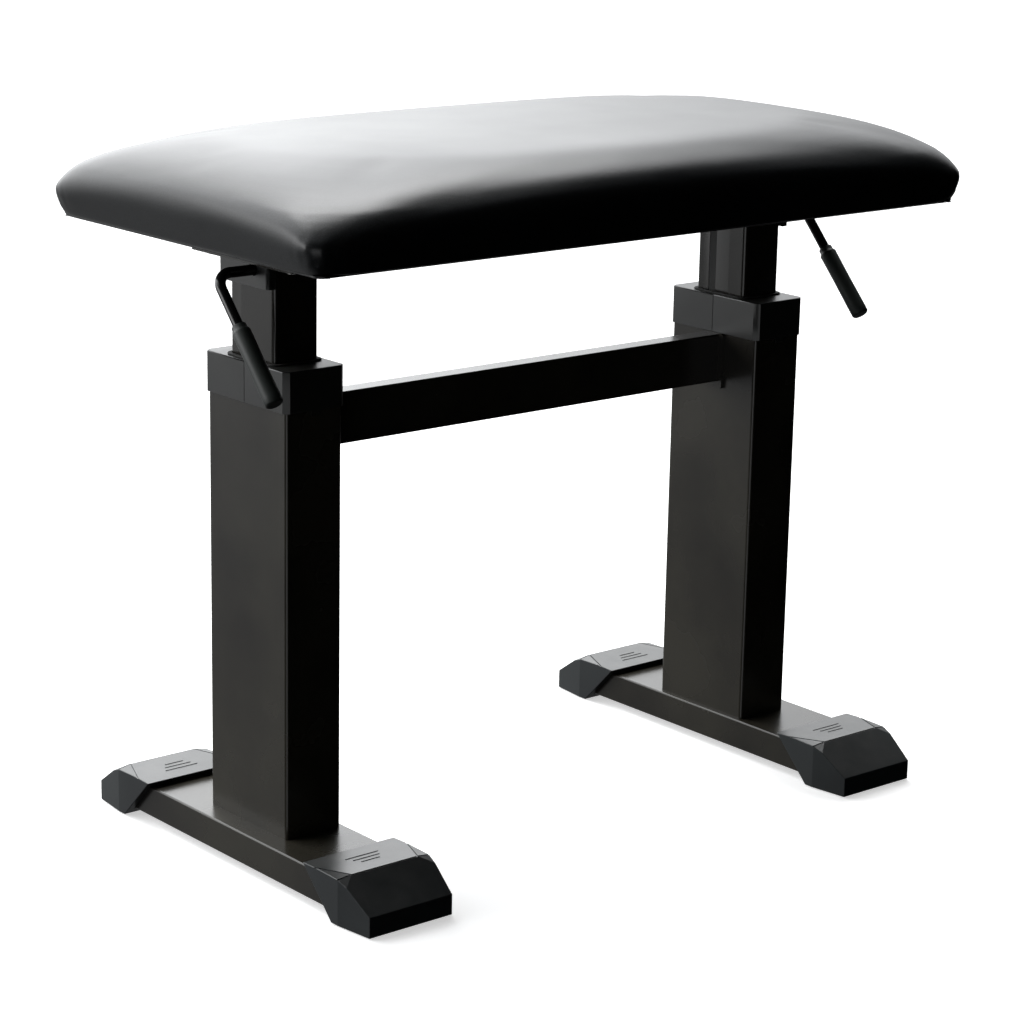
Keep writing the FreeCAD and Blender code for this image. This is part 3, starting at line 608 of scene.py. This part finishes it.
materials = {name: makeHardFinish(name, look) for name, look in hardFinishes.items()}
materials["leatherette"] = makeLeatherette(leatheretteLook)
materials["plywood"] = makePlywood()
materials["dustCloth"] = makeDustCloth()

# the record's slots are the same names written with underscores
slotMaterials = {"".join("_" + c.lower() if c.isupper() else c for c in name): name for name in materials}
slotOfNode = {part["node"]: part["material_slot"] for part in frame["record"]["subparts"]}
for nodeName, node in frame["nodes"].items():
    for slot in node.material_slots:
        slot.material = materials[slotMaterials[slotOfNode[nodeName]]]
print("finishes made:", len(materials))


# tubes, plates and rods: the CAD shape, with its corners shaded round
def smoothed(node, name, body):
    piece = bpy.data.objects.new(name, frame["nodes"][node].data.copy())
    bpy.context.scene.collection.objects.link(piece)
    startEdit(piece)
    bpy.ops.mesh.select_all(action="SELECT")
    bpy.ops.mesh.remove_doubles(threshold=2e-6)
    bpy.ops.mesh.dissolve_limited(angle_limit=math.radians(0.3))
    endEdit()
    smoothShade(piece)
    slotName = slotOfNode[node]
    return finishPiece(piece, body, slotName, materials[slotMaterials[slotName]], node)


for side in sides:
    smoothed(side + "_outer_column", side + "OuterColumn", "base")
    smoothed(side + "_base_bar", side + "BaseBar", "base")
    smoothed(side + "_collar", side + "Collar", "base")
    smoothed(side + "_inner_column", side + "InnerColumn", "seat")
    smoothed(side + "_lever_housing", side + "LeverHousing", "seat")
    smoothed(side + "_lever_rod", side + "LeverRod", side + "_lever")
smoothed("crossbar", "crossbarTube", "base")
print("tubes and housings smoothed")


# rubber: a wiper lip round each inner column's mouth, and a liner in the column's groove
rubberShape = {"lipWide": 0.0034, "lipGap": 0.0003, "lipTall": 0.0013, "lipSunk": 0.0002,
               "lipCorner": 0.0045, "lipSoft": 0.0005, "groove": (0.0066, 0.0142),
               "grooveDeep": (0.0012, 0.0024), "grooveTop": 0.455, "grooveSoft": 0.0003}


def makeWiper(name, side, shape):
    low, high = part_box(side + "_inner_column")
    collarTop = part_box(side + "_collar")[1].z
    out = shape["lipGap"] + shape["lipWide"]
    lip = block(name, (low.x - out, low.y - out, collarTop - shape["lipSunk"]),
                (high.x + out, high.y + out, collarTop + shape["lipTall"]))
    roundUpright(lip, shape["lipCorner"] + out, 8)
    openFrame(lip, shape["lipWide"])
    softenEdges(lip, shape["lipSoft"])
    smoothShade(lip)
    return lip


def makeGrooveLiner(name, side, shape):
    low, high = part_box(side + "_inner_column")
    inward = low.x if side == "right" else high.x
    deep = [inward + sides[side] * d for d in shape["grooveDeep"]]
    liner = block(name, (min(deep), shape["groove"][0], low.z + 0.001),
                  (max(deep), shape["groove"][1], shape["grooveTop"]))
    useModifier(liner, "BEVEL", width=shape["grooveSoft"], segments=2)
    smoothShade(liner)
    return liner


for side in sides:
    wiper = makeWiper(side + "Wiper", side, rubberShape)
    finishPiece(wiper, "base", "pad_rubber", materials["padRubber"])
    liner = makeGrooveLiner(side + "GrooveLiner", side, rubberShape)
    finishPiece(liner, "seat", "pad_rubber", materials["padRubber"])
print("rubber fitted")


# end caps: carved from a block, hollowed for the bar, with three plain grip ribs on top and a fine
# moulding line where the top ends
capShape = {"innerTop": (-0.103, 0.0363), "slopeTop": (-0.147, 0.038), "slopeFoot": (-0.179, 0.0165),
            "foot": (-0.138, 0.0006), "blockTop": 0.039, "facetY": -0.146, "facetIn": 0.004,
            "corner": ((0.0417, -0.118, 0.03688), (0.030, -0.147, 0.038), (0.0417, -0.1457, 0.0362),
                       (0.0409, -0.1555, 0.0323)),
            "soft": 0.0005, "line": 0.0013, "gap": 0.0002, "barPocket": (-0.1505, -0.09),
            "ribs": ((-0.119, 0.030), (-0.1245, 0.024), (-0.130, 0.017)), "ribWidth": 0.0013,
            "ribProud": 0.0004}


def profileCut(piece, inner, outer):
    # takes off what lies outside the line from inner to outer in the side view (y, z)
    along = Vector((0, outer[0] - inner[0], outer[1] - inner[1]))
    outward = along.cross(Vector((1, 0, 0)))
    sliceOff(piece, (0, *inner), outward)


def makeFrontCap(name, shape):
    low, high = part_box("right_front_end_cap")
    middle = (low.x + high.x) / 2
    half = (high.x - low.x) / 2
    cap = block(name, low, (high.x, high.y, shape["blockTop"]))
    profileCut(cap, shape["slopeTop"], shape["slopeFoot"])
    profileCut(cap, shape["innerTop"], shape["slopeTop"])
    profileCut(cap, shape["foot"], shape["innerTop"])
    lines = []
    for sign in (-1, 1):
        facetRun = Vector((-sign * shape["facetIn"], low.y - shape["facetY"], 0))
        sliceOff(cap, (middle + sign * half, shape["facetY"], 0),
                 Vector((-sign * facetRun.y, sign * facetRun.x, 0)))
        points = [Vector((middle + sign * x, y, z)) for x, y, z in shape["corner"]]
        cornerFacet(cap, points[0], points[1], points[2])
        cornerFacet(cap, points[1], points[2], points[3])
        lines.append((points[1], points[2] + (points[2] - points[1]) * 0.1))
        lines.append((points[1], points[1].lerp(points[0], 1.02)))
    lines.append((Vector((middle - shape["corner"][1][0], *shape["slopeTop"])),
                  Vector((middle + shape["corner"][1][0], *shape["slopeTop"]))))
    useModifier(cap, "BEVEL", width=shape["soft"], segments=3, limit_method="ANGLE",
                angle_limit=math.radians(25), profile=0.5)
    for start, end in lines:
        carve(cap, makeLineCutter(start, end, shape["line"]))
    gap = shape["gap"]
    pocketEnd, pocketMouth = shape["barPocket"]
    barLow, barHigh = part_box("right_base_bar")
    carve(cap, block("barCutter", (barLow.x - gap, pocketEnd, barLow.z - gap),
                     (barHigh.x + gap, pocketMouth, barHigh.z + gap)))
    padLow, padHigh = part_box("right_front_foot_pad")
    carve(cap, block("padCutter", (padLow.x - gap, padLow.y - gap, -0.01),
                     (padHigh.x + gap, padHigh.y + gap, padHigh.z)))
    ribs = [makeRib(middle, place, length, shape) for place, length in shape["ribs"]]
    cap = weld(name, [cap] + ribs)
    only(cap)
    bpy.ops.object.shade_flat()
    return cap


def makeLineCutter(start, end, width):
    # a thin square bar laid along the edge from start to end
    along = end - start
    cutter = block("lineCutter", (-width / 2, -width / 2, 0), (width / 2, width / 2, along.length))
    cutter.matrix_world = Matrix.Translation(start) @ along.to_track_quat("Z", "Y").to_matrix().to_4x4()
    settle(cutter)
    return cutter


def cornerFacet(cap, first, second, third):
    outward = (second - first).cross(third - first)
    if outward.z < 0:
        outward.negate()
    sliceOff(cap, first, outward)


def makeRib(middle, place, length, shape):
    width = shape["ribWidth"]
    inner, outer = shape["innerTop"], shape["slopeTop"]
    top = inner[1] + (outer[1] - inner[1]) * (place - inner[0]) / (outer[0] - inner[0])
    crest = top + shape["ribProud"]
    rib = block("rib", (middle - length / 2, place - width / 2, top - 0.001),
                (middle + length / 2, place + width / 2, crest))
    roundUpright(rib, width * 0.48, 4)
    roundLevel(rib, crest, 0.0003, 2)
    return rib


frontCap = makeFrontCap("rightFrontCap", capShape)
caps = {("right", "front"): frontCap}
caps["right", "rear"] = mirroredCopy(frontCap, "rightRearCap", flipY=-1)
caps["left", "front"] = mirroredCopy(frontCap, "leftFrontCap", flipX=-1)
caps["left", "rear"] = mirroredCopy(frontCap, "leftRearCap", flipX=-1, flipY=-1)
for (side, end), cap in caps.items():
    finishPiece(cap, "base", "cap_plastic", materials["capPlastic"], f"{side}_{end}_end_cap")
print("end caps carved")


# lever grips: turned on the lever's line, with a stepped neck and a rounded end
gripShape = {"length": 0.066, "radius": 0.0069, "neck": 0.0056, "neckLength": 0.0035,
             "endRound": 0.0018, "endTurns": 6, "drop": 48.0, "corner": (0.295, -0.012, 0.4575),
             "reach": 0.110, "segments": 40}


def makeGrip(name, side, shape):
    # a disc drawn out ring by ring, each ring a distance along and a radius, then laid on the lever
    along, neck, body = shape["length"], shape["neck"], shape["radius"]
    step = shape["neckLength"]
    bpy.ops.object.select_all(action="DESELECT")
    bpy.ops.mesh.primitive_circle_add(vertices=shape["segments"], radius=neck - 0.0008, fill_type="NGON")
    grip = bpy.context.object
    grip.name = name
    grip.data.name = name
    rings = [(0.0, neck - 0.0002), (0.0006, neck), (step, neck), (step + 0.0004, neck + 0.0003),
             (step + 0.0016, body - 0.0002), (step + 0.0024, body), (along * 0.5, body - 0.00015),
             (along - 0.0058, body + 0.0001)]
    for turn in range(1, shape["endTurns"] + 1):
        angle = math.radians(90 * turn / shape["endTurns"])
        rings.append((along - shape["endRound"] + shape["endRound"] * math.sin(angle),
                      body - shape["endRound"] * (1 - math.cos(angle))))
    startEdit(grip)
    bpy.ops.mesh.select_all(action="SELECT")
    here, radius = 0.0, neck - 0.0008
    for distance, nextRadius in rings:
        bpy.ops.mesh.extrude_region_move(TRANSFORM_OT_translate={"value": (0, 0, distance - here)})
        ratio = nextRadius / radius
        bpy.ops.transform.resize(value=(ratio, ratio, 1), center_override=(0, 0, distance))
        here, radius = distance, nextRadius
    bpy.ops.mesh.select_all(action="SELECT")
    bpy.ops.mesh.normals_make_consistent(inside=False)
    endEdit()
    drop = math.radians(shape["drop"])
    direction = Vector((0, -math.cos(drop), -math.sin(drop)))
    corner = Vector((sides[side] * shape["corner"][0], *shape["corner"][1:]))
    start = corner + direction * (shape["reach"] - along)
    grip.matrix_world = Matrix.Translation(start) @ direction.to_track_quat("Z", "X").to_matrix().to_4x4()
    settle(grip)
    only(grip)
    bpy.ops.object.shade_smooth_by_angle(angle=math.radians(50))
    return grip


for side in sides:
    grip = makeGrip(side + "Grip", side, gripShape)
    finishPiece(grip, side + "_lever", "grip_plastic", materials["gripPlastic"], side + "_lever_grip")
print("grips turned")


# the seat: walls that flare a little up to a waist, then a wide crown of loops that turn from the
# seat's rounded oblong into an oval, so that the corners fall away; the waist is drawn up between
# the corners, and a cloth run with air in it settles the cover
seatShape = {"foot": (0.3165, 0.167), "half": (0.3240, 0.1720), "around": 288, "walls": 4,
             "footPower": 30, "waistPower": 26, "topPower": 4.0, "powerFall": 0.53,
             "waist": 0.499, "archEnds": 0.016, "archSides": 0.022,
             "crownReach": (0.082, 0.0655), "profile": 1.92, "loops": 14,
             "plateau": 0.5428, "dome": 0.0015, "domeLoops": (0.85, 0.7, 0.55, 0.4, 0.25, 0.12),
             "voxel": 0.0042, "pressure": 4.0, "frames": 12, "cap": 0.0015, "held": 0.497,
             "hipHeight": 0.487, "crownHeight": 0.521, "evenings": {"raw": 5, "crown": 26, "hip": 3},
             "pleats": 5, "pleatDepth": 0.0004, "pleatTop": 0.510, "pleatReach": 0.032,
             "pleatFoot": 0.487}


def oblong(angle, power):
    # a corner of the rounded oblong with half sizes of one
    reach = (abs(math.cos(angle)) ** power + abs(math.sin(angle)) ** power) ** (-1 / power)
    return reach * math.cos(angle), reach * math.sin(angle)


def ovalise(seat, halfX, halfY, power, place):
    # puts the selected loop on a rounded oblong of these half sizes; place gives each corner's height
    # from where the same direction meets the seat's widest outline
    mesh = bmesh.from_edit_mesh(seat.data)
    for vertex in mesh.verts:
        if vertex.select:
            angle = math.atan2(vertex.co.y / halfY, vertex.co.x / halfX)
            across, deep = oblong(angle, power)
            height = place(*oblong(angle, seatShape["waistPower"]))
            vertex.co = Vector((across * halfX, deep * halfY, height))
    bmesh.update_edit_mesh(seat.data)


def growLoop(seat, halfX, halfY, power, place):
    bpy.ops.mesh.extrude_region_move(TRANSFORM_OT_translate={"value": (0, 0, 0.001)})
    ovalise(seat, halfX, halfY, power, place)


def makeSeat(name, shape):
    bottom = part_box("seat_cushion")[0].z
    bpy.ops.object.select_all(action="DESELECT")
    bpy.ops.mesh.primitive_circle_add(vertices=shape["around"], radius=0.1, fill_type="NGON",
                                      location=(0, 0, bottom))
    seat = bpy.context.object
    seat.name = name
    seat.data.name = name
    settle(seat)
    startEdit(seat, "VERT")
    bpy.ops.mesh.select_all(action="SELECT")
    ovalise(seat, *shape["foot"], shape["footPower"], lambda x, y: bottom)
    for step in range(1, shape["walls"] + 1):
        share = step / shape["walls"]
        flare = math.sin(math.radians(90 * share))
        halfX, halfY = (a + (b - a) * flare for a, b in zip(shape["foot"], shape["half"]))
        growLoop(seat, halfX, halfY, shape["footPower"],
                 lambda x, y: bottom + (waistHeight(x, y, shape) - bottom) * share)
    for step in range(1, shape["loops"] + 1):
        turn = math.radians(90 * step / shape["loops"])
        rise = math.sin(turn) ** (2 / shape["profile"])
        inset = 1 - max(0, math.cos(turn)) ** (2 / shape["profile"])
        fall = rise ** shape["powerFall"]
        power = shape["waistPower"] + (shape["topPower"] - shape["waistPower"]) * fall
        growLoop(seat, shape["half"][0] - shape["crownReach"][0] * inset,
                 shape["half"][1] - shape["crownReach"][1] * inset, power,
                 lambda x, y: waistHeight(x, y, shape) * (1 - rise) + shape["plateau"] * rise)
    for share in shape["domeLoops"]:
        growLoop(seat, (shape["half"][0] - shape["crownReach"][0]) * share,
                 (shape["half"][1] - shape["crownReach"][1]) * share, shape["topPower"],
                 lambda x, y: shape["plateau"] + shape["dome"] * (1 - share ** 2))
    bpy.ops.mesh.select_all(action="SELECT")
    bpy.ops.mesh.normals_make_consistent(inside=False)
    endEdit()
    only(seat)
    seat.data.remesh_voxel_size = shape["voxel"]
    bpy.ops.object.voxel_remesh()
    softenCrown(seat, shape["hipHeight"], shape["evenings"]["raw"])
    inflate(seat, shape)
    softenCrown(seat, shape["crownHeight"], shape["evenings"]["crown"])
    softenCrown(seat, shape["hipHeight"], shape["evenings"]["hip"])
    useModifier(seat, "SUBSURF", levels=1, render_levels=1)
    pleatCorners(seat, *shape["half"], shape)
    only(seat)
    bpy.ops.object.shade_smooth()
    return seat


def waistHeight(across, deep, shape):
    # across and deep run from -1 to 1; the waist is lowest at the corners
    return shape["waist"] + shape["archEnds"] * (1 - deep ** 2) + shape["archSides"] * (1 - across ** 2)


def softenCrown(seat, above, rounds):
    # evens out the cover above a height, and leaves the bottom edge crisp
    group = seat.vertex_groups.new(name="crown")
    group.add([v.index for v in seat.data.vertices if v.co.z > above], 1.0, "REPLACE")
    useModifier(seat, "SMOOTH", factor=0.5, iterations=rounds, vertex_group="crown")
    seat.vertex_groups.clear()


def inflate(seat, shape):
    before = [vertex.co.copy() for vertex in seat.data.vertices]
    pinned = seat.vertex_groups.new(name="stapled")
    pinned.add([v.index for v in seat.data.vertices if v.co.z < shape["held"]], 1.0, "REPLACE")
    only(seat)
    cloth = seat.modifiers.new("stuffing", "CLOTH")
    cloth.settings.quality = 5
    cloth.settings.mass = 0.3
    cloth.settings.tension_stiffness = 40
    cloth.settings.compression_stiffness = 40
    cloth.settings.shear_stiffness = 25
    cloth.settings.bending_stiffness = 12
    cloth.settings.vertex_group_mass = pinned.name
    cloth.settings.use_pressure = True
    cloth.settings.uniform_pressure_force = shape["pressure"]
    cloth.settings.effector_weights.gravity = 0
    cloth.collision_settings.use_collision = False
    cloth.collision_settings.use_self_collision = False
    scene = bpy.context.scene
    for step in range(1, shape["frames"] + 1):
        scene.frame_set(step)
    bpy.ops.object.modifier_apply(modifier=cloth.name)
    scene.frame_set(1)
    for vertex, start in zip(seat.data.vertices, before):
        move = vertex.co - start
        if move.length > shape["cap"]:
            vertex.co = start + move * (shape["cap"] / move.length)
    seat.vertex_groups.clear()


def pleatCorners(seat, halfX, halfY, shape):
    # shallow gathers that fan round each corner and die out upwards
    inner = shape["pleatReach"]
    for vertex in seat.data.vertices:
        place = vertex.co
        outX, outY = abs(place.x) - (halfX - inner), abs(place.y) - (halfY - inner)
        if outX <= 0 or outY <= 0 or not shape["pleatFoot"] <= place.z <= shape["pleatTop"]:
            continue
        turn = math.atan2(outY, outX) / (math.pi / 2)
        fade = math.sin(math.pi * turn) * math.sin(math.pi * (shape["pleatTop"] - place.z) / inner)
        fold = 0.5 - 0.5 * math.cos(2 * math.pi * shape["pleats"] * turn)
        depth = shape["pleatDepth"] * max(0, fade) * fold
        place.x -= math.copysign(depth * math.cos(turn * math.pi / 2), place.x)
        place.y -= math.copysign(depth * math.sin(turn * math.pi / 2), place.y)


seat = makeSeat("seatPad", seatShape)
finishPiece(seat, "seat", "leatherette", materials["leatherette"], "seat_cushion")
print("seat stuffed:", len(seat.data.polygons), "faces")

# the cover's hem, turned in under the board and stapled all round
hemShape = {"width": 0.024, "thick": 0.0020, "inside": 0.0022, "corner": 0.0100, "soft": 0.0007,
            "stapleGap": 0.040, "staple": (0.0105, 0.0012, 0.0008), "stapleLean": 9}


def makeHem(name, shape):
    sizeX, sizeY = (half - shape["inside"] for half in seatShape["foot"])
    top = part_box("seat_cushion")[0].z + shape["thick"] * 0.5
    hem = block(name, (-sizeX, -sizeY, top - shape["thick"]), (sizeX, sizeY, top))
    roundUpright(hem, shape["corner"], 8)
    openFrame(hem, shape["width"])
    softenEdges(hem, shape["soft"])
    smoothShade(hem)
    return hem


def makeStaples(name, shape):
    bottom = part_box("seat_cushion")[0].z - shape["thick"] * 0.5
    inX, inY = (half - shape["width"] * 0.6 for half in seatShape["foot"])
    length, width, proud = shape["staple"]
    crown = block("staple", (-length / 2, -width / 2, bottom - proud),
                  (length / 2, width / 2, bottom + 0.0004))
    useModifier(crown, "BEVEL", width=0.0003, segments=2)
    places = []
    for sign in (-1, 1):
        countX = int(2 * inX / shape["stapleGap"])
        places += [(inX * (2 * (k + 0.5) / countX - 1), sign * inY, 0) for k in range(countX)]
        countY = int(2 * inY / shape["stapleGap"])
        places += [(sign * inX, inY * (2 * (k + 0.5) / countY - 1), 90) for k in range(countY)]
    copies = []
    for k, (x, y, turn) in enumerate(places):
        staple = crown.copy()
        staple.data = crown.data.copy()
        bpy.context.scene.collection.objects.link(staple)
        lean = math.radians(turn + shape["stapleLean"] * math.sin(2.4 * k))
        staple.matrix_world = Matrix.Translation((x, y, 0)) @ Matrix.Rotation(lean, 4, "Z")
        settle(staple)
        copies.append(staple)
    bpy.data.objects.remove(crown)
    staples = weld(name, copies)
    smoothShade(staples)
    return staples


finishPiece(makeHem("seatHem", hemShape), "seat", "leatherette", materials["leatherette"])
finishPiece(makeStaples("hemStaples", hemShape), "seat", "zinc_steel", materials["zincSteel"])
print("hem stapled")
